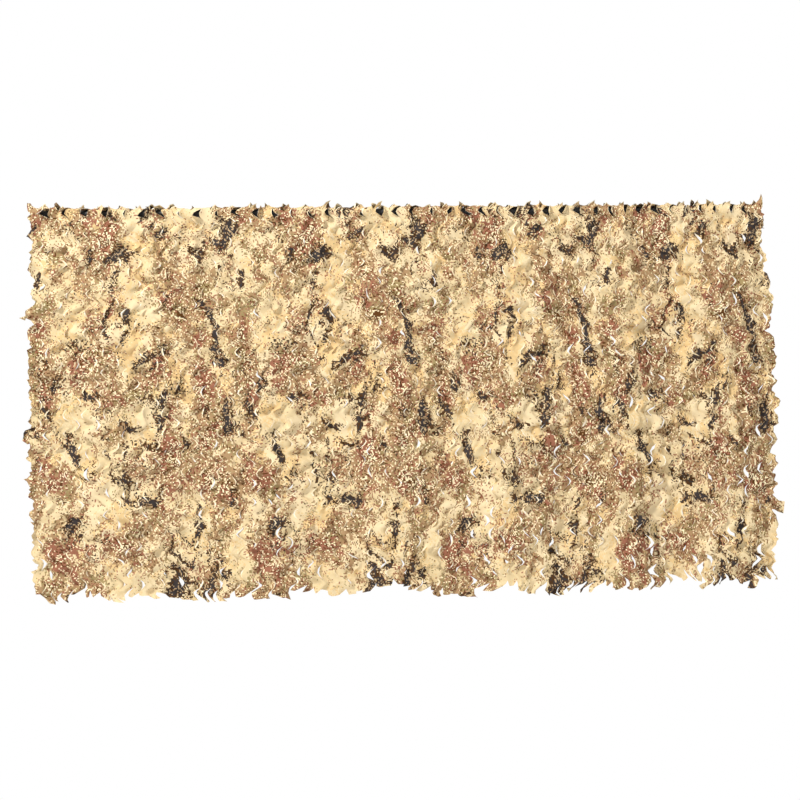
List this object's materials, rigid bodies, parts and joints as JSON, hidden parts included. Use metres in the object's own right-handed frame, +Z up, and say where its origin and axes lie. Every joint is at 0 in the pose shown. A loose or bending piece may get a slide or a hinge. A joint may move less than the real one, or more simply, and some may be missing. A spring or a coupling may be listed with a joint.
{
  "type": "camouflage netting on a pole",
  "caption": "Leaf-cut camouflage netting in printed desert colours, turned over a plain round pole and hanging in soft uneven folds as a screen.",
  "frame": {"origin": "on the pole's axis, halfway along it", "axes": "+X along the pole, to the right when facing the netting; +Z up; the netting's front faces -Y"},
  "size_m": [2.6477, 0.0896, 1.4215],
  "materials": {
    "netting": "matt woven polyester, printed in sand, brown, red-brown and charcoal",
    "pole": "satin black paint on tube"
  },
  "bodies": {
    "root": {"netting": "netting", "pole": "pole"}
  },
  "joints": []
}
